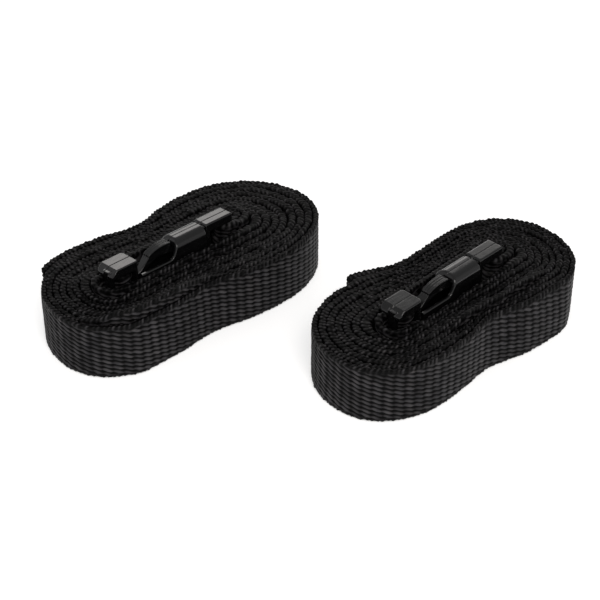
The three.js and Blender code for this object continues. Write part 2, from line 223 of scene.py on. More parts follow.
ROUTE_STEP = 0.2  # between samples of the finished route
FAR = 8  # a layer further off than this isn't a neighbour


def side_width(inner, side, k, x):
    """How far layer k stands from the buckle's middle at x, between the innermost and outermost layer."""
    across = ease((x + 26) / 52)
    waist = side["waist"] * np.exp(-(((x - side["at"]) / 15) ** 2))
    outer = lerp(side["lobes"][0], side["lobes"][1], across) - waist
    return lerp(lerp(inner[0], inner[1], across), outer, k / (TURNS - 1))


def coil_route(strap, turn):
    """The coil's route for an array of turns made since the left end."""
    phase = turn % 1
    front = phase < 0.5
    k = turn - np.where(front, 0.25, 0.75)
    reach_left = lerp(40.6, strap["left"], (turn - 1) / (TURNS - 2))
    reach_right = lerp(BEND_X + INNER_BEND + PLY * 2 + 0.8, strap["right"], (turn - 0.5) / (TURNS - 1))
    growth = np.clip(turn / TURNS, 0, 1)
    left = -lerp(32, 27, growth)
    right = lerp(38.5, 33, growth)
    squareness = lerp(0.84, 0.94, growth)
    from_left = np.where(front, phase, 1 - phase)
    from_right = np.abs(phase - 0.5)
    at_left = from_left < END_SHARE
    at_right = ~at_left & (from_right < END_SHARE)
    angle = np.where(at_left, from_left, from_right) / END_SHARE * math.pi / 2
    angle = np.clip(angle, 0, math.pi / 2)
    cosine = np.cos(angle) ** squareness
    x = lerp(left, right, (from_left - END_SHARE) / (0.5 - 2 * END_SHARE))
    x = np.where(at_left, left - (reach_left + left) * cosine, x)
    x = np.where(at_right, right + (reach_right - right) * cosine, x)
    share = np.where(at_left | at_right, np.sin(angle) ** squareness, 1)
    y_front = side_width((RUN_Y, RUN_Y), strap["front"], k, x) * share
    y_back = side_width((10.1, 12.5), strap["back"], k, x) * share
    pocket = strap["pocket"]
    outermost = side_width((RUN_Y, RUN_Y), strap["front"], TURNS - 1, x)
    packed = np.where(
        k < pocket["layer"] + 0.5,
        np.minimum(y_front, RUN_Y + GAP + pocket["pitch"] * k),
        np.maximum(y_front, outermost - pocket["pitch"] * (TURNS - 1 - k)),
    )
    y_front = lerp(y_front, packed, pocket_share(pocket, x))
    return x, np.where(front, -y_front, y_back)


def pocket_share(pocket, x):
    """1 inside the pocket, fading to 0 over 12 mm at both ends."""
    return ease((x - pocket["start"]) / 12) * ease((pocket["end"] - x) / 12)


def smoothed(values, sigma):
    """Values along a route, smoothed over a few samples, with both ends kept."""
    reach = int(3 * sigma)
    kernel = np.exp(-0.5 * (np.arange(-reach, reach + 1) / sigma) ** 2)
    kernel /= kernel.sum()
    before = 2 * values[0] - values[reach:0:-1]
    after = 2 * values[-1] - values[-2:-reach - 2:-1]
    return np.convolve(np.concatenate([before, values, after]), kernel, "valid")


def room_beside(s, x, y, out_x, out_y):
    """Half the way to the next layer on the outer and the inner side, or 1 mm where none is near."""
    dx, dy = x[None] - x[:, None], y[None] - y[:, None]
    along = np.abs(dx * out_y[:, None] - dy * out_x[:, None])
    across = dx * out_x[:, None] + dy * out_y[:, None]
    beside = (along < 1.5) & (np.abs(s[None] - s[:, None]) > FAR)
    rooms = []
    for side in (across, -across):
        nearest = np.where(beside & (side > 0.5), side, FAR + 1).min(1)
        halfway = np.clip(nearest / 2 + 0.06, 0.95, 2.9)
        rooms.append(smoothed(np.where(nearest > FAR, 1.0, halfway), 2))
    return rooms


def whole_route(strap):
    """Places and turns along the webbing, from the sewn end to the end of the tail."""
    threaded = threaded_route()
    turns = np.arange(FIRST_TURN, TURNS, 1 / 1600)[12:]
    x, y = coil_route(strap, turns)
    tail = strap["tail"]
    waist_x = strap["back"]["at"]
    on_tail = turns > TURNS - 0.5
    y = y + on_tail * tail["flare"] * ease((waist_x - x) / (waist_x - tail["x"]))
    keep = ~(on_tail & (x < tail["x"]))
    last = np.argmin(keep) if not keep.all() else len(keep)
    x, y, turns = x[:last], y[:last], turns[:last]
    x = np.concatenate([threaded[:, 0], x])
    y = np.concatenate([threaded[:, 1], y])
    turns = np.concatenate([np.full(len(threaded), FIRST_TURN), turns])
    return x, y, turns


def webbing_route(strap, lift):
    """Even samples along one strap's webbing: place, direction, height of the lower edge, lean."""
    x, y, turns = whole_route(strap)
    run = np.concatenate([[0], np.cumsum(np.hypot(np.diff(x), np.diff(y)))])
    s = np.arange(0, run[-1], ROUTE_STEP)
    lock_exit = run[np.argmax(x < SLOT_1 - 2.5)]
    x, y, turns = (np.interp(s, run, v) for v in (x, y, turns))
    x, y = smoothed(x, 5), smoothed(y, 5)
    since = np.clip(s - lock_exit, 0, None)
    sunk = np.maximum(ease(since / 30), (s < lock_exit - 60) * ease((x - 32.5) / 5) * 0.7)
    pocket = strap["pocket"]
    raised = (turns > pocket["layer"]) & (turns < pocket["layer"] + 0.5)
    raised = raised * ease((x - pocket["start"] + 12) / 14) * ease((pocket["end"] - x) / 34)
    edge = raised * pocket["lift"] + strap["rise"] * ease(1 - turns / 2.6)
    y = y - raised * 0.6
    roll = math.radians(strap["roll"])
    dx, dy = np.gradient(x), np.gradient(y)
    size = np.hypot(dx, dy)
    out_x, out_y = dy / size, -dx / size
    outside = (turns > pocket["layer"] + 1) & (turns % 1 < 0.5)
    fold = smoothed(outside * pocket_share(pocket, x) * pocket["fold"], 12)
    few = slice(None, None, 4)
    tops = x - out_x * fold, y - out_y * fold
    room_out, room_in = room_beside(s[few], tops[0][few], tops[1][few], out_x[few], out_y[few])
    return dict(
        s=s, x=x, y=y, turn=turns, out_x=out_x, out_y=out_y, lock_exit=lock_exit, fold=fold,
        room_out=np.interp(s, s[few], room_out), room_in=np.interp(s, s[few], room_in),
        z=lerp(WEB_LIFT + lift, edge, sunk), sunk=sunk,
        lean=math.tan(roll) * np.clip(1 - (turns - 0.3) / (TURNS - 1), 0, 1),
        held=1 - ease(since / 25), roll=roll,
    )


# ---- Webbing surface ----

CORE = 0.46  # half thickness under the yarns
RISE = 0.52  # how far a yarn stands above the core on a face
EDGE_RISE = 0.8  # and on the two edges
CORE_LOW, CORE_HIGH = 0.3, 24.7  # the core's lower and upper edge
CONTACT = 0.15  # hidden layers pass the halfway plane by this at mid height, so that no gap shows
CONTACT_HEIGHTS = (6, 18.5)
CONTACT_ROOMS = (1.001, 2.6)
FLOAT_LEAN = 0.56  # how far a float's middle line leans from its row


def weave(s, w, flip):
    """Height of the woven face, 0 to 1: lens-shaped floats, each column half a row from the next."""
    row = np.floor(w / YARN)
    best = np.zeros(np.broadcast(s, w).shape)
    for near in (-1, 0, 1):
        i = row + near
        phase = s / FLOAT + i / 2 + flip / 2
        n = np.floor(phase + 0.5)
        chance = scatter(n, i + 31 * flip)
        phase = phase + 0.06 * (chance - 0.5)
        wave = np.cos(2 * math.pi * phase)
        up = np.clip((wave + 0.24) / 1.24, 0, 1) ** 0.66
        centre = (i + 0.5) * YARN - FLOAT_LEAN * np.sin(2 * math.pi * phase) + 0.16 * (scatter(n, i) - 0.5)
        half = YARN * (0.22 + (0.74 + 0.12 * chance) * up)
        bulge = np.clip(1 - ((w - centre) / half) ** 2, 0, None) ** 0.7
        best = np.maximum(best, (0.58 + 0.42 * up) * step(0, 0.3, up) * (0.74 + 0.26 * chance) * bulge)
    return best


def braid(s, v, seed):
    """Height of the woven edge, 0 to 1, for v from -1 to 1 across it: two rows of slanted loops."""
    side = np.where(v > 0, 1, 0)
    place = s / PICK + 0.45 * side + 0.45 * np.abs(v)
    chance = scatter(np.floor(place), seed + 7.0 * side)
    place = place + 0.44 * (chance - 0.5)
    loop = np.cos(math.pi * (place - 0.5)) ** 2
    across = np.clip(1 - ((np.abs(v) - 0.6) / 0.66) ** 2, 0, None) ** 0.7
    return loop ** 0.55 * across * (0.45 + 0.55 * chance)


FACE_W = np.arange(10, 107) * YARN / 5  # heights of a face's columns of vertices
COARSE = [0, 24, 48, 72, 96]  # the only columns of a face that isn't woven
BLOCK = 10  # rings of vertices in each length of two picks
TOP_W = [22.396, 22.917, 23.438, 23.8]  # heights of the columns beside the upper edge
BOTTOM_W = [1.35]  # and beside the lower edge


def section():
    """The webbing's outline as columns: zone, place across and up, and the outward direction."""
    columns = [("out", CORE, w, 1, 0) for w in FACE_W]
    columns += [("top", CORE, w, 1, 0) for w in TOP_W]
    for angle in np.linspace(0, math.pi, 9):
        c, s = math.cos(angle), math.sin(angle)
        columns.append(("top", CORE * c, CORE_HIGH - CORE + CORE * s, c, s))
    columns += [("top", -CORE, w, -1, 0) for w in TOP_W[::-1]]
    columns += [("in", -CORE, w, -1, 0) for w in FACE_W[::-1]]
    columns += [("low", -CORE, w, -1, 0) for w in BOTTOM_W]
    for angle in np.linspace(math.pi, 2 * math.pi, 5):
        c, s = math.cos(angle), math.sin(angle)
        columns.append(("low", CORE * c, CORE_LOW + CORE + CORE * s, c, s))
    columns += [("low", CORE, w, 1, 0) for w in BOTTOM_W]
    return columns


COLUMNS = section()
OUTLINE = np.array([column[1:] for column in COLUMNS], float)
ZONES = {name: np.flatnonzero([c[0] == name for c in COLUMNS]) for name in ("out", "in", "top", "low")}
ROUTE_KEYS = (
    "x", "y", "z", "out_x", "out_y", "lean", "held", "fold", "room_out", "room_in", "sunk", "turn",
)


def woven_blocks(s, stretches):
    """Which blocks of a face lie in the stretches where it is woven in full."""
    middle = (s[:-1:BLOCK] + s[BLOCK::BLOCK]) / 2
    return np.any([(middle > a) & (middle < b) for a, b in stretches], axis=0)


def vertex_index(rings, full):
    """The number of the vertex at each ring and column, or -1 where a plain block has none."""
    exists = np.zeros((rings, len(COLUMNS)), bool)
    exists[:, ZONES["top"]] = True
    exists[::2, ZONES["low"]] = True
    for name in ("out", "in"):
        cols = ZONES[name]
        exists[:, cols[[0, -1]]] = True
        exists[::BLOCK, cols[COARSE]] = True
        for block in np.flatnonzero(full[name]):
            exists[block * BLOCK:(block + 1) * BLOCK + 1, cols] = True
    index = np.full(exists.shape, -1)
    index[exists] = np.arange(exists.sum())
    return index


def webbing_points(letter, route, s, col):
    """Places and thread coordinates of vertices, from their distance along the webbing and column."""
    v, w, n_across, n_up = (numbers[col] for numbers in OUTLINE.T)
    r = {key: np.interp(s, route["s"], route[key]) for key in ROUTE_KEYS}
    seed = 0 if letter == "a" else 50
    run = s + 0.5 * drift(s, 40, seed + 1)
    on_top = step(22.9, 23.9, w + 0.5 * drift(s, 2.5, seed + 6))
    on_low = step(1.6, 0.9, w)
    h = lerp(weave(run, w, np.where(v > 0, 0, 1)), braid(run, v / CORE, seed), on_top)
    h = lerp(h, braid(run + 1.3, v / CORE, seed + 3), on_low)
    rise = lerp(RISE, EDGE_RISE, np.maximum(on_top, on_low))

    room = np.where(v > 0, r["room_out"], r["room_in"])
    swell = (room - 1.0) * np.maximum(step(19.5, 23.2, w), step(4.0, 1.2, w))
    v = v + n_across * rise * h + np.sign(v) * swell * np.clip(np.abs(v) / CORE, 0, 1)
    touching = (w > CONTACT_HEIGHTS[0]) & (w < CONTACT_HEIGHTS[1])
    touching &= (room > CONTACT_ROOMS[0]) & (room < CONTACT_ROOMS[1])
    v = np.where(touching, np.sign(v) * np.maximum(np.abs(v), room + CONTACT), v)
    w = w + n_up * rise * h

    rough = 0.1 + 0.42 * drift(s, 30, seed + 2) + 0.36 * drift(s, 6, seed + 3)
    inner = step(TURNS - 0.6, TURNS - 2, r["turn"])
    w = w + rough * r["sunk"] * lerp(0.25, 1.2, inner) * np.sqrt(np.clip(w / WEB_WIDTH, 0, 1))
    wander = 0.12 * drift(s, 15, seed + 4) + 0.2 * drift(s, 4.5, seed + 5) * step(19, 24, w)
    v = v + wander * r["sunk"]

    shift = r["lean"] * (r["z"] + w - MID_Z)
    inward = r["fold"] * np.clip((w - 8) / 17, 0, 1) ** 1.4
    x = r["x"] + r["out_x"] * (v - inward)
    y = r["y"] + r["out_y"] * (v - inward)
    z = r["z"] + w - y * math.sin(route["roll"]) * r["held"]
    x = x + shift * r["out_x"] * r["out_y"] * (1 - r["held"])
    y = y + shift * lerp(r["out_y"] ** 2, 1, r["held"])
    return np.stack([x, y, z], 1), np.stack([run, w, h], 1)


def quads(index, cols, rows):
    """Four-sided faces between neighbouring columns and rings."""
    a = index[rows[:-1]][:, cols[:-1]]
    b = index[rows[1:]][:, cols[:-1]]
    c = index[rows[1:]][:, cols[1:]]
    d = index[rows[:-1]][:, cols[1:]]
    return np.stack([a, b, c, d], -1).reshape(-1, 4).tolist()


def plain_block(index, cols, r0, r1, before, after):
    """The few faces of a block that isn't woven, sharing every vertex of a woven block beside it."""
    faces = []
    for a, b in zip(COARSE[:-1], COARSE[1:]):
        side_a = range(r0, r1 + 1) if a == 0 else (r0, r1)
        side_b = range(r1, r0 - 1, -1) if b == COARSE[-1] else (r1, r0)
        loop = [index[k, cols[a]] for k in side_a]
        loop += [index[r1, cols[j]] for j in range(a + 1, b)] if after else []
        loop += [index[k, cols[b]] for k in side_b]
        loop += [index[r0, cols[j]] for j in range(b - 1, a, -1)] if before else []
        faces.append(loop)
    return faces


def webbing_faces(index, full):
    """Faces between the vertices: both edges, the woven and plain blocks, and the two cut ends."""
    face_out, face_in, top, low = (ZONES[name] for name in ("out", "in", "top", "low"))
    last = len(index) - 1
    rows = np.arange(last + 1)
    faces = quads(index, np.concatenate([face_out[-1:], top, face_in[:1]]), rows)
    faces += quads(index, low, rows[::2])
    for r in range(0, last, 2):
        a, b = face_in[-1], low[0]
        faces.append([index[r, a], index[r + 1, a], index[r + 2, a], index[r + 2, b], index[r, b]])
        a, b = low[-1], face_out[0]
        faces.append([index[r, a], index[r + 2, a], index[r + 2, b], index[r + 1, b], index[r, b]])
    for name, cols in (("out", face_out), ("in", face_in)):
        woven = full[name]
        for block in range(len(woven)):
            r0, r1 = block * BLOCK, (block + 1) * BLOCK
            if woven[block]:
                faces += quads(index, cols, rows[r0:r1 + 1])
                continue
            before = block > 0 and woven[block - 1]
            after = block + 1 < len(woven) and woven[block + 1]
            faces += plain_block(index, cols, r0, r1, before, after)
    faces.append([v for v in index[0] if v >= 0])
    faces.append([v for v in index[last] if v >= 0][::-1])
    return faces


def webbing_surface(letter, route, start, end, fine_out, fine_in):
    """Vertices, faces and thread coordinates for the webbing between two distances along it.
    fine_out and fine_in are stretches where that face is seen and is woven in full."""
    blocks = max(1, round((end - start) / (PICK * 2)))
    s = np.linspace(start, end, blocks * BLOCK + 1)
    full = {"out": woven_blocks(s, fine_out), "in": woven_blocks(s, fine_in)}
    index = vertex_index(len(s), full)
    ring, col = np.nonzero(index >= 0)
    points, thread = webbing_points(letter, route, s[ring], col)
    return points, webbing_faces(index, full), thread


def new_mesh(name, points, faces, thread=None, normals=None):
    """A mesh object from points in metres in the row frame."""
    mesh = bpy.data.meshes.new(name)
    mesh.from_pydata(np.asarray(points, float).tolist(), [], faces)
    mesh.validate()
    work = bmesh.new()
    work.from_mesh(mesh)
    if work.calc_volume(signed=True) < 0:
        bmesh.ops.reverse_faces(work, faces=work.faces)
    work.to_mesh(mesh)
    work.free()
    mesh.shade_smooth()
    if thread is not None:
        attribute = mesh.attributes.new("thread", "FLOAT_VECTOR", "POINT")
        attribute.data.foreach_set("vector", np.asarray(thread, np.float32).ravel())
    if normals is not None:
        mesh.normals_split_custom_set_from_vertices(np.asarray(normals, float).tolist())
    obj = bpy.data.objects.new(name, mesh)
    bpy.context.scene.collection.objects.link(obj)
    return obj


# ---- Shapes from distance fields ----

def outline(points, px, pz):
    """Signed distance to a closed outline, negative inside."""
    pts = np.asarray(points, float)
    nearest = np.full(np.broadcast(px, pz).shape, 1e9)
    inside = np.zeros(nearest.shape, bool)
    for (ax, az), (bx, bz) in zip(pts, np.roll(pts, -1, axis=0)):
        ex, ez = bx - ax, bz - az
        t = np.clip(((px - ax) * ex + (pz - az) * ez) / (ex * ex + ez * ez), 0, 1)
        nearest = np.minimum(nearest, (px - ax - ex * t) ** 2 + (pz - az - ez * t) ** 2)
        crosses = (az > pz) != (bz > pz)
        if ez:
            inside ^= crosses & (px < ax + ex * (pz - az) / ez)
    return np.where(inside, -1, 1) * np.sqrt(nearest)


def box(px, py, x0, x1, y0, y1, r):
    """Signed distance to a rectangle with rounded corners."""
    qx = np.abs(px - (x0 + x1) / 2) - (x1 - x0) / 2 + r
    qy = np.abs(py - (y0 + y1) / 2) - (y1 - y0) / 2 + r
    return np.hypot(np.maximum(qx, 0), np.maximum(qy, 0)) + np.minimum(np.maximum(qx, qy), 0) - r


def both(a, b, r):
    """What two fields share, with the edge rounded to r."""
    corner = np.hypot(np.maximum(a + r, 0), np.maximum(b + r, 0))
    return np.minimum(np.maximum(a, b), -r) + corner


def either(a, b, r):
    """Two fields joined, with a fillet of r."""
    corner = np.hypot(np.maximum(r - a, 0), np.maximum(r - b, 0))
    return np.maximum(np.minimum(a, b), r) - corner


def without(a, b, r):
    """The first field less the second, with the edge rounded to r."""
    return both(a, -b, r)


def curve(p0, p1, p2, p3, steps=12):
    """Points along a Bezier curve, without its first."""
    t = np.linspace(0, 1, steps + 1)[1:, None]
    p0, p1, p2, p3 = (np.array(p, float) for p in (p0, p1, p2, p3))
    return ((1 - t) ** 3 * p0 + 3 * t * (1 - t) ** 2 * p1 + 3 * t * t * (1 - t) * p2 + t ** 3 * p3).tolist()


CORNERS = [(a, b, c) for a in (0, 1) for b in (0, 1) for c in (0, 1)]


def edge_crossings(grid, lines, cells):
    """For each cell, the mean of the places where the field is zero along the cell's edges."""
    total = np.zeros((len(cells[0]), 3))
    crossings = np.zeros(len(cells[0]))
    for p in CORNERS:
        for axis in range(3):
            if p[axis]:
                continue
            q = tuple(v + (n == axis) for n, v in enumerate(p))
            fp, fq = (grid[tuple(cells[n] + c[n] for n in range(3))] for c in (p, q))
            hit = (fp < 0) != (fq < 0)
            t = np.where(hit, fp / np.where(hit, fp - fq, 1), 0)
            ends = [np.stack([lines[n][cells[n] + c[n]] for n in range(3)], 1) for c in (p, q)]
            total += hit[:, None] * lerp(ends[0], ends[1], t[:, None])
            crossings += hit
    return total / crossings[:, None]


def slope(field, at, reach=0.02):
    """The field's gradient at each point."""
    parts = []
    for axis in range(3):
        d = np.zeros(3)
        d[axis] = reach
        parts.append((field(*(at + d).T) - field(*(at - d).T)) / (2 * reach))
    return np.stack(parts, 1)


def crossing_faces(solid, number):
    """A face for each grid edge that the surface crosses, between the four cells round that edge."""
    faces = []
    for axis in range(3):
        low = [slice(1, -1)] * 3
        low[axis] = slice(0, -1)
        high = list(low)
        high[axis] = slice(1, None)
        change = solid[tuple(low)] != solid[tuple(high)]
        at = np.array(np.nonzero(change)).T
        u, v = [n for n in range(3) if n != axis]
        at[:, [u, v]] += 1
        ring = []
        for du, dv in ((-1, -1), (0, -1), (0, 0), (-1, 0)):
            c = at.copy()
            c[:, u] += du
            c[:, v] += dv
            ring.append(number[c[:, 0], c[:, 1], c[:, 2]])
        ring = np.stack(ring, 1)
        outward = solid[at[:, 0], at[:, 1], at[:, 2]] ^ (axis == 1)
        ring[~outward] = ring[~outward][:, ::-1]
        faces.extend(ring.tolist())
    return faces


def surface(field, xs, ys, zs):
    """Vertices, faces and normals of a field's zero surface, one vertex in each cell it crosses."""
    grid = np.broadcast_to(
        field(xs[:, None, None], ys[None, :, None], zs[None, None, :]), (len(xs), len(ys), len(zs))
    )
    solid = grid < 0
    cell = (slice(0, -1), slice(1, None))
    count = sum(solid[cell[a], cell[b], cell[c]].astype(int) for a, b, c in CORNERS)
    cells = np.nonzero((count > 0) & (count < 8))
    number = np.full(count.shape, -1)
    number[cells] = np.arange(len(cells[0]))
    points = edge_crossings(grid, (xs, ys, zs), cells)
    for _ in range(3):
        g = slope(field, points)
        move = (field(*points.T) / np.maximum((g * g).sum(1), 0.2))[:, None] * g
        points = points - np.clip(move, -0.12, 0.12)
    g = slope(field, points)
    normals = g / np.maximum(np.linalg.norm(g, axis=1), 1e-6)[:, None]
    return points, crossing_faces(solid, number), normals


def spaced(*stretches):
    """Grid lines: each stretch is start, end and spacing."""
    lines = [np.linspace(a, b, max(2, round((b - a) / d) + 1)) for a, b, d in stretches]
    return np.unique(np.round(np.concatenate(lines), 4))


# ---- Buckle ----

def seam(y, depth=0.16, half=0.16):
    """The fine groove where the mould's two sides met."""
    return depth * np.exp(-((y / half) ** 2))


def female_field(x, y, z):
    """The female half: housing with its two guide plates, neck, and the webbing block with its bar."""
    u = z - MID_Z
    a = np.abs(u)
    side = [(SHIELD_LEFT, -1), (SHIELD_LEFT, SHIELD_HALF), (-3.4, SHIELD_HALF)]
    side += curve((-3.4, SHIELD_HALF), (0.8, SHIELD_HALF), (0.6, MID_Z), (3.2, MID_Z))
    side += [(HOUSING_RIGHT, MID_Z), (HOUSING_RIGHT, -1)]
    profile = outline(side, x, a)
    tall = box(y, u, -HALF_THICK, HALF_THICK, -MID_Z, MID_Z, 4.2)
    housing = both(profile, tall, 0.55)
    cavity = outline([(-20, -1), (-20, 14), (3.4, 14), (5.4, 15.6), (14.5, 15.6), (14.5, -1)], x, a)
    cavity = both(cavity, np.abs(y) - (HALF_THICK - WALL), 0.3)
    housing = without(housing, cavity, 0.4)
    neck = both(both(np.abs(x - 17.5) - 1.6, np.abs(y) - 3, 0.2), a - (MID_Z - 1), 0.3)
    nub = both(both(np.abs(x - 17.5) - 1, np.abs(y) - 0.5, 0.2), a - (MID_Z - 0.35), 0.2)
    tackle = box(y, u, -BLOCK_HALF_THICK, BLOCK_HALF_THICK, -MID_Z, MID_Z, 0.7)
    bevel = (x - BLOCK_LEFT) * -0.75 + (a - MID_Z) * 0.66 + 0.35
    tackle = both(tackle, np.abs(x - (BLOCK_LEFT + BLOCK_RIGHT) / 2) - (BLOCK_RIGHT - BLOCK_LEFT) / 2, 0.5)
    tackle = both(tackle, bevel, 0.3)
    slot = both(box(x, a, BLOCK_LEFT + 2, BLOCK_RIGHT + 4, -40, MID_Z - CHEEK, 0.5), np.abs(y) - 9, 0.1)
    tackle = without(tackle, slot, 0.35)
    bar = both(box(x, y, LOOP_BAR_X - 1.5, LOOP_BAR_X + 1.5, -1.8, 1.8, 1.2), a - (MID_Z - 1), 0.2)
    body = either(either(housing, neck, 0.3), tackle, 0.3)
    body = either(body, nub, 0.15)
    body = either(body, bar, 0.3)
    return body + seam(y) * step(MID_Z - 3.5, MID_Z - 2.5, a)


def male_field(x, y, z):
    """The male half: ladder lock with its two bars, and the middle tongue."""
    u = z - MID_Z
    a = np.abs(u)
    side = [
        (LOCK_LEFT, -1), (LOCK_LEFT, MID_Z - 2.6), (LOCK_LEFT + 2.9, MID_Z),
        (LOCK_RIGHT, MID_Z), (LOCK_RIGHT, -1),
    ]
    block = both(outline(side, x, a), box(x, y, LOCK_LEFT, LOCK_RIGHT, -HALF_THICK, HALF_THICK, 1.5), 0.5)
    opening = both(box(x, a, LOCK_LEFT - 6, LOCK_RIGHT - 1.8, -40, MID_Z - CHEEK, 0.6), np.abs(y) - 9, 0.1)
    block = without(block, opening, 0.35)
    grip_left = LOCK_LEFT + END_BAR + LOCK_SLOT
    end_bar = box(x, y, LOCK_LEFT, LOCK_LEFT + END_BAR, -3, 1.2, 1.1)
    grip = box(x, y, grip_left, grip_left + GRIP_BAR, -1.8, 2.2, 1.0)
    bars = both(np.minimum(end_bar, grip), a - (MID_Z - 1), 0.2)
    tongue = both(box(y, a, -1.5, 1.5, -3.4, 3.4, 0.4), np.abs(x + 5.5) - 14.5, 0.6)
    body = either(block, bars, 0.4)
    body = either(body, tongue, 0.5)
    return body + seam(y) * step(MID_Z - 4.5, MID_Z - 3, a)


def arm_field(x, y, z):
    """The upper spring arm, with grip ridges where a finger presses it."""
    top = MID_Z
    root, middle = ARM_ROOT[0], ARM_ROOT[1] - MID_Z
    side = [(root, middle + 1.2)]
    side += curve(side[0], (-15.6, top - 8.2), (-14.4, top - 6.6), (-11.4, top - 3.5))
    side += [(-11.2, top - 2.8)]
    side += curve(side[-1], (-8.4, top - 1.2), (-4, top - 0.4), (0.3, top - 1))
    side += [(0.3, 13.4), (4.1, 13.4), (5.9, 14.8), (9.6, 12.8), (9.6, 11.6), (1, 11)]
    side += curve((1, 11), (-4, 12.6), (-9, 12), (-12.2, 9.4))
    side += curve((-12.2, 9.4), (-14.4, 7.4), (-15.8, 6.2), (root, middle - 1.2))
    width = np.interp(x, [root, -12, 1, 10], [1.6, 2.0, 2.4, 1.6])
    body = both(outline(side, x, z - MID_Z), np.abs(y) - width, 0.35)
    ridges = 0.22 * (0.5 - 0.5 * np.cos(2 * math.pi * y / 1.25)) * step(1.9, 1.5, np.abs(y))
    face = step(-12.5, -10.8, x) * step(0.6, 0.0, x) * step(11.8, 12.8, z - MID_Z)
    return body + ridges * face


STITCHES = 39
STITCH_PITCH = 0.53
STITCH_SIDES = 8
STITCH_PROFILE = (  # place along a stitch, and its radius there
    (0, 0.12), (0.07, 0.25), (0.25, 0.3), (0.5, 0.32), (0.75, 0.3), (0.93, 0.25), (1, 0.12),
)


def stitches(base):
    """The bar tack: short rounded stitches across two plies of webbing, leaning to and fro."""
    points, faces, thread = [], [], []
    for n in range(STITCHES):
        z = base + 2.2 + STITCH_PITCH * n
        rise = 0.5 if n % 2 else -0.5
        first = len(points)
        for t, r in STITCH_PROFILE:
            for k in range(STITCH_SIDES):
                angle = 2 * math.pi * k / STITCH_SIDES
                c, s = math.cos(angle), math.sin(angle)
                points.append((lerp(37.0, 38.5, t), -2.25 - r * c, z + rise * (t - 0.5) + r * s))
                thread.append((t * 1.5 + n, k / STITCH_SIDES, n))
        last = len(points) - STITCH_SIDES
        for a in range(first, last, STITCH_SIDES):
            for k in range(STITCH_SIDES):
                m = (k + 1) % STITCH_SIDES
                faces.append((a + k, a + STITCH_SIDES + k, a + STITCH_SIDES + m, a + m))
        faces.append(tuple(range(first, first + STITCH_SIDES)))
        faces.append(tuple(range(last + STITCH_SIDES - 1, last - 1, -1)))
    return np.array(points), faces, thread


def buckle_piece(name, field, grid, place, lower=False):
    """A moulding made from its field. The lower arm is the upper one turned over."""
    points, faces, normals = surface(field, *grid)
    local = points.copy()
    if lower:
        turned = np.array([1, -1, -1])
        points = points * turned + np.array([0, 0, WIDTH])
        normals = normals * turned
    turn = np.array(place.to_3x3())
    moved = (points * MM) @ turn.T + np.array(place.translation)
    return new_mesh(name, moved, faces, thread=local, normals=normals @ turn.T)


# ---- Materials ----

def material(name):
    made = bpy.data.materials.new(name)
    made.use_nodes = True
    nodes, links = made.node_tree.nodes, made.node_tree.links
    return made, nodes, links, nodes["Principled BSDF"]


def ramp(nodes, links, value, stops):
    """A value turned into colours."""
    node = nodes.new("ShaderNodeValToRGB")
    while len(node.color_ramp.elements) < len(stops):
        node.color_ramp.elements.new(0.5)
    for element, (place, colour) in zip(node.color_ramp.elements, stops):
        element.position = place
        element.color = (*colour, 1)
    links.new(value, node.inputs["Fac"])
    return node.outputs["Color"]


def noise(nodes, scale, detail, rough=0.55):
    node = nodes.new("ShaderNodeTexNoise")
    node.inputs["Scale"].default_value = scale
    node.inputs["Detail"].default_value = detail
    node.inputs["Roughness"].default_value = rough
    return node


def thread_attribute(nodes):
    """Millimetres along the webbing or buckle and across it, then a woven surface's height, 0 to 1, from
    which the webbing's colour paints shade and highlight.
    """
    attribute = nodes.new("ShaderNodeAttribute")
    attribute.attribute_name = "thread"
    return attribute.outputs["Vector"]


def pattern(nodes, links, scale, detail, rough=0.55, seed=0.0):
    """Noise laid out along the thread attribute."""
    mapping = nodes.new("ShaderNodeMapping")
    mapping.inputs["Scale"].default_value = scale
    mapping.inputs["Location"].default_value = (seed, 0, 0)
    links.new(thread_attribute(nodes), mapping.inputs["Vector"])
    node = noise(nodes, 1.0, detail, rough)
    links.new(mapping.outputs["Vector"], node.inputs["Vector"])
    return node


def blended(nodes, links, kind, a, b, factor):
    node = nodes.new("ShaderNodeMix")
    node.data_type = "RGBA"
    node.blend_type = kind
    node.inputs["Factor"].default_value = factor
    links.new(a, node.inputs["A"])
    links.new(b, node.inputs["B"])
    return node.outputs["Result"]


def remapped(nodes, links, value, low, high, to_low, to_high):
    node = nodes.new("ShaderNodeMapRange")
    for name, number in (("From Min", low), ("From Max", high), ("To Min", to_low), ("To Max", to_high)):
        node.inputs[name].default_value = number
    links.new(value, node.inputs["Value"])
    return node.outputs["Result"]


def add_bump(nodes, links, shader, height, strength, distance):
    bump = nodes.new("ShaderNodeBump")
    bump.inputs["Strength"].default_value = strength
    bump.inputs["Distance"].default_value = distance
    links.new(height, bump.inputs["Height"])
    links.new(bump.outputs["Normal"], shader.inputs["Normal"])


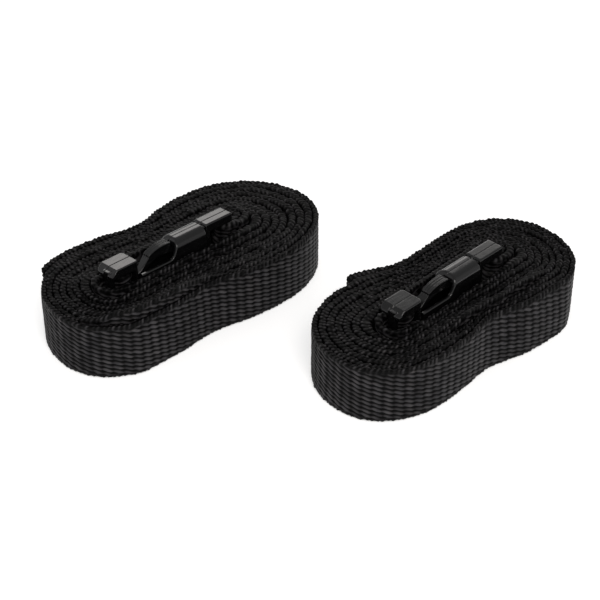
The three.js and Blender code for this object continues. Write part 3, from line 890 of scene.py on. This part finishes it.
def webbing_material(name, seed):
    """Black webbing whose colour follows the woven height: painted shade, near black, between the yarns,
    the yarn's own dark grey on the floats, lighter on their crowns as painted highlight; with fine
    filaments, uneven yarns and upright bands.
    """
    made, nodes, links, shader = material(name)
    fine = pattern(nodes, links, (0.55, 7.0, 0.0), 3, 0.6, seed).outputs["Fac"]
    broad = pattern(nodes, links, (0.06, 0.12, 0.0), 2).outputs["Fac"]
    yarns = pattern(nodes, links, (0.24, 0.96, 0.0), 1).outputs["Fac"]
    bands = pattern(nodes, links, (0.3, 0.035, 0.0), 1).outputs["Fac"]
    split = nodes.new("ShaderNodeSeparateXYZ")
    links.new(thread_attribute(nodes), split.inputs["Vector"])
    # Painted shade and highlight from the woven height: near black in the hollows between yarns, the yarn's
    # own dark grey on the floats, lighter on their crowns as a painted highlight.
    colour = ramp(nodes, links, split.outputs["Z"], [
        (0.2, (0.0004, 0.0004, 0.0004)), (0.4, (0.0035, 0.0032, 0.0034)),
        (0.62, (0.02, 0.0193, 0.0199)), (0.92, (0.056, 0.0543, 0.0561)),
    ])
    tint = ramp(nodes, links, yarns, [(0.25, (0.78, 0.79, 0.84)), (0.75, (1.16, 1.13, 1.12))])
    streaks = ramp(nodes, links, fine, [(0.3, (0.6, 0.6, 0.6)), (0.7, (1.25, 1.25, 1.25))])
    band = ramp(nodes, links, bands, [
        (0.3, (0.66, 0.66, 0.68)), (0.48, (1.0, 1.0, 1.0)), (0.7, (1.16, 1.14, 1.14)),
    ])
    for layer, factor in ((tint, 1.0), (streaks, 0.8), (band, 0.9)):
        colour = blended(nodes, links, "MULTIPLY", colour, layer, factor)
    links.new(colour, shader.inputs["Base Color"])
    links.new(remapped(nodes, links, broad, 0.3, 0.7, 0.42, 0.56), shader.inputs["Roughness"])
    add_bump(nodes, links, shader, fine, 0.5, 0.12 * MM)
    shader.inputs["Specular IOR Level"].default_value = 0.07
    return made


def thread_material(name, seed):
    """Twisted sewing thread."""
    made, nodes, links, shader = material(name)
    fine = pattern(nodes, links, (2.0, 5.0, 0.7), 3, 0.6, seed).outputs["Fac"]
    colour = ramp(nodes, links, fine, [(0.3, (0.006, 0.0057, 0.006)), (0.7, (0.03, 0.0285, 0.03))])
    links.new(colour, shader.inputs["Base Color"])
    links.new(remapped(nodes, links, fine, 0.3, 0.7, 0.45, 0.65), shader.inputs["Roughness"])
    add_bump(nodes, links, shader, fine, 0.4, 0.05 * MM)
    shader.inputs["Specular IOR Level"].default_value = 0.2
    return made


def plastic_material(name, seed):
    """Black moulded plastic, with faint flow marks, grain and drawn lines along the buckle."""
    made, nodes, links, shader = material(name)
    flow = pattern(nodes, links, (0.25, 0.8, 0.8), 3, seed=seed).outputs["Fac"]
    grain = pattern(nodes, links, (6.0, 6.0, 6.0), 2)
    lines = pattern(nodes, links, (0.35, 9.0, 9.0), 2)
    colour = ramp(nodes, links, flow, [(0.3, (0.0016, 0.0016, 0.0018)), (0.7, (0.0032, 0.0031, 0.0032))])
    links.new(colour, shader.inputs["Base Color"])
    links.new(remapped(nodes, links, flow, 0.3, 0.7, 0.13, 0.22), shader.inputs["Roughness"])
    height = blended(nodes, links, "ADD", grain.outputs["Color"], lines.outputs["Color"], 0.6)
    add_bump(nodes, links, shader, height, 0.12, 0.01 * MM)
    return made


# ---- Straps ----

# Grid lines along X, Y and Z on which each moulding is worked out, closer together where it has detail.
FEMALE_GRID = (
    spaced(
        (-18.6, -4, 0.45), (-4, 4.2, 0.25), (4.2, 15.8, 0.5),
        (15.8, 20.6, 0.22), (20.6, 30.6, 0.5), (30.6, 33.2, 0.25),
    ),
    spaced((-6.1, -1.2, 0.35), (-1.2, -0.4, 0.2), (-0.4, 0.4, 0.08), (0.4, 1.2, 0.2), (1.2, 6.1, 0.35)),
    spaced((-0.6, 1.6, 0.3), (1.6, 23, 0.6), (23, 28, 0.3), (28, 34.6, 0.22)),
)
MALE_GRID = (
    spaced(
        (-33.2, -28.4, 0.22), (-28.4, -20.4, 0.4), (-20.4, -18.2, 0.2), (-18.2, 8.4, 0.7), (8.4, 9.8, 0.3),
    ),
    spaced((-6.1, -1.2, 0.3), (-1.2, -0.4, 0.2), (-0.4, 0.4, 0.08), (0.4, 1.2, 0.2), (1.2, 6.1, 0.3)),
    spaced((-0.6, 3, 0.3), (3, 12, 0.6), (12, 22, 0.35), (22, 28, 0.5), (28, 34.6, 0.22)),
)
ARM_GRID = (
    spaced((-19.2, 10.2, 0.2)),
    spaced((-2.9, 2.9, 0.125)),
    spaced((21.8, 34.0, 0.16)),
)


def add_buckle(letter, place, seed):
    plastic = plastic_material(f"plastic_{letter}", seed)
    pieces = (
        ("female_half", female_field, FEMALE_GRID, f"female_{letter}", False),
        ("male_half", male_field, MALE_GRID, f"strap_{letter}", False),
        ("spring_arm_upper", arm_field, ARM_GRID, f"arm_upper_{letter}", False),
        ("spring_arm_lower", arm_field, ARM_GRID, f"arm_lower_{letter}", True),
    )
    for node, field, grid, body, lower in pieces:
        obj = buckle_piece(f"moulded_{node}_{letter}", field, grid, place, lower)
        obj.data.materials.append(plastic)
        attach(obj, body)
        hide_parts(f"{node}_{letter}")


def add_bar_tack(letter, route, to_world, seed):
    sewn = np.argmin(np.abs(route["x"] - 37.75) + np.abs(route["y"] + PLY / 2))
    points, faces, thread = stitches(route["z"][sewn])
    points[:, 1] += math.tan(route["roll"]) * (points[:, 2] - MID_Z)
    points[:, 2] -= points[:, 1] * math.sin(route["roll"])
    tack = new_mesh(f"bar_tack_stitches_{letter}", to_world(points), faces, thread=thread)
    tack.data.materials.append(thread_material(f"thread_{letter}", seed))
    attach(tack, f"strap_{letter}")
    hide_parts(f"bar_tack_{letter}")


def seen_stretches(strap, route, cut):
    """Where the webbing's outer and inner face are seen, as distances along it."""
    total = route["s"][-1]
    circuit = 2 * (strap["left"] + strap["right"]) * 1.35 + 50
    layer = strap["pocket"]["layer"]
    hollow = tuple(float(np.interp(turn, route["turn"], route["s"])) for turn in (layer, layer + 0.5))
    sewn_loop = (0, 90)
    innermost = (route["lock_exit"] - 24, route["lock_exit"] + 70)
    return [sewn_loop, innermost, hollow, (cut - circuit, total)], [sewn_loop, innermost, (cut, total)]


def add_webbing(letter, strap, route, to_world, seed):
    """The wound webbing, and the loose tail, a piece of its own from where it leaves the coil."""
    total = route["s"][-1]
    cut = total - TAIL_LENGTH
    fine_out, fine_in = seen_stretches(strap, route, cut)
    cloth = webbing_material(f"webbing_{letter}", seed)

    def webbing_object(name, start, end):
        points, faces, thread = webbing_surface(letter, route, start, end, fine_out, fine_in)
        obj = new_mesh(name, to_world(points), faces, thread=thread)
        obj.data.materials.append(cloth)
        return obj

    wound = webbing_object(f"woven_webbing_{letter}", 0.0, cut)
    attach(wound, f"strap_{letter}")
    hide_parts(f"webbing_{letter}")
    loose = webbing_object(f"woven_tail_{letter}", cut, total)
    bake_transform(loose)
    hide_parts(f"webbing_tail_{letter}")


def build_strap(letter, strap, seed):
    place = buckle_frame(letter)
    axis = place.to_3x3().col[0]
    yaw = math.atan2(axis.y, axis.x)
    centre = place @ Vector((0, 0, MID_Z * MM))

    def to_world(points):
        c, s = math.cos(yaw), math.sin(yaw)
        return np.stack([
            centre.x + (points[:, 0] * c - points[:, 1] * s) * MM,
            centre.y + (points[:, 0] * s + points[:, 1] * c) * MM,
            points[:, 2] * MM,
        ], 1)

    add_buckle(letter, place, seed)
    route = webbing_route(strap, centre.z / MM - MID_Z)
    add_bar_tack(letter, route, to_world, seed)
    add_webbing(letter, strap, route, to_world, seed)


for number, (letter, strap) in enumerate(STRAPS.items()):
    build_strap(letter, strap, 13.7 * (number + 1))

# ---- Stage ----

FLOOR_Z = -0.3 * MM  # just under the straps, so that no two surfaces share a plane
FLOOR_GLOW = 0.5


def paper_material():
    """White paper with a painted glow where it is open; ambient occlusion takes the glow away down inside a
    coil, which paints shade there.
    """
    made, nodes, links, shader = material("paper")
    grain = noise(nodes, 40.0, 3).outputs["Fac"]
    colour = ramp(nodes, links, grain, [(0.3, (0.90, 0.90, 0.90)), (0.7, (0.93, 0.93, 0.93))])
    links.new(colour, shader.inputs["Base Color"])
    shader.inputs["Roughness"].default_value = 0.9
    shader.inputs["Specular IOR Level"].default_value = 0.1
    shader.inputs["Emission Color"].default_value = (1, 1, 1, 1)
    # Painted shade: the glow fades to nothing where ambient occlusion finds the floor closed in, as down
    # inside a coil.
    occlusion_shade = nodes.new("ShaderNodeAmbientOcclusion")
    occlusion_shade.samples = 8
    occlusion_shade.inputs["Distance"].default_value = 30 * MM
    glow = remapped(nodes, links, occlusion_shade.outputs["AO"], 0.12, 0.38, 0.0, FLOOR_GLOW)
    links.new(glow, shader.inputs["Emission Strength"])
    return made


floor_mesh = bpy.data.meshes.new("floor")
shape = bmesh.new()
bmesh.ops.create_grid(shape, x_segments=8, y_segments=8, size=3.0)
shape.to_mesh(floor_mesh)
shape.free()
floor = bpy.data.objects.new("floor", floor_mesh)
floor.location.z = FLOOR_Z
bpy.context.scene.collection.objects.link(floor)
floor.data.materials.append(paper_material())

world = bpy.data.worlds.new("studio")
bpy.context.scene.world = world
bpy.context.scene.view_settings.view_transform = "Standard"  # keeps the white floor white
world.use_nodes = True
nodes, links = world.node_tree.nodes, world.node_tree.links
split = nodes.new("ShaderNodeSeparateXYZ")
links.new(nodes.new("ShaderNodeTexCoord").outputs["Generated"], split.inputs["Vector"])
sky = ramp(nodes, links, split.outputs["Z"], [
    (0.0, (0.6, 0.6, 0.6)), (0.48, (0.6, 0.6, 0.6)), (0.62, (0.42, 0.42, 0.42)), (1.0, (0.42, 0.42, 0.42)),
])
links.new(sky, nodes["Background"].inputs["Color"])
nodes["Background"].inputs["Strength"].default_value = 1.0


def soft_light(name, place, target, size, power):
    data = bpy.data.lights.new(name, "AREA")
    data.shape = "RECTANGLE"
    data.size, data.size_y = size
    data.energy = power
    obj = bpy.data.objects.new(name, data)
    obj.location = place
    obj.rotation_euler = (Vector(target) - Vector(place)).to_track_quat("-Z", "Y").to_euler()
    bpy.context.scene.collection.objects.link(obj)
    data.color = (1.0, 0.965, 0.935)


soft_light("key", (-0.5, -0.75, 0.95), (0, 0, 0), (0.5, 0.5), 6.5)
soft_light("window", (0.95, 0.95, 0.66), (0, 0, 0.02), (0.9, 0.4), 2.5)

TARGET = Vector((-0.0054, -0.00037, 0.012))
CAMERA_DISTANCE = 0.7
azimuth, elevation = math.radians(-45), math.radians(36)
back = Vector((
    math.sin(azimuth) * math.cos(elevation), -math.cos(azimuth) * math.cos(elevation), math.sin(elevation),
))
camera_data = bpy.data.cameras.new("camera")
camera_data.lens = 100.8
camera_data.sensor_width = 36
camera = bpy.data.objects.new("camera", camera_data)
camera.location = TARGET + back * CAMERA_DISTANCE
camera.rotation_euler = (-back).to_track_quat("-Z", "Y").to_euler()
bpy.context.scene.collection.objects.link(camera)
bpy.context.scene.camera = camera
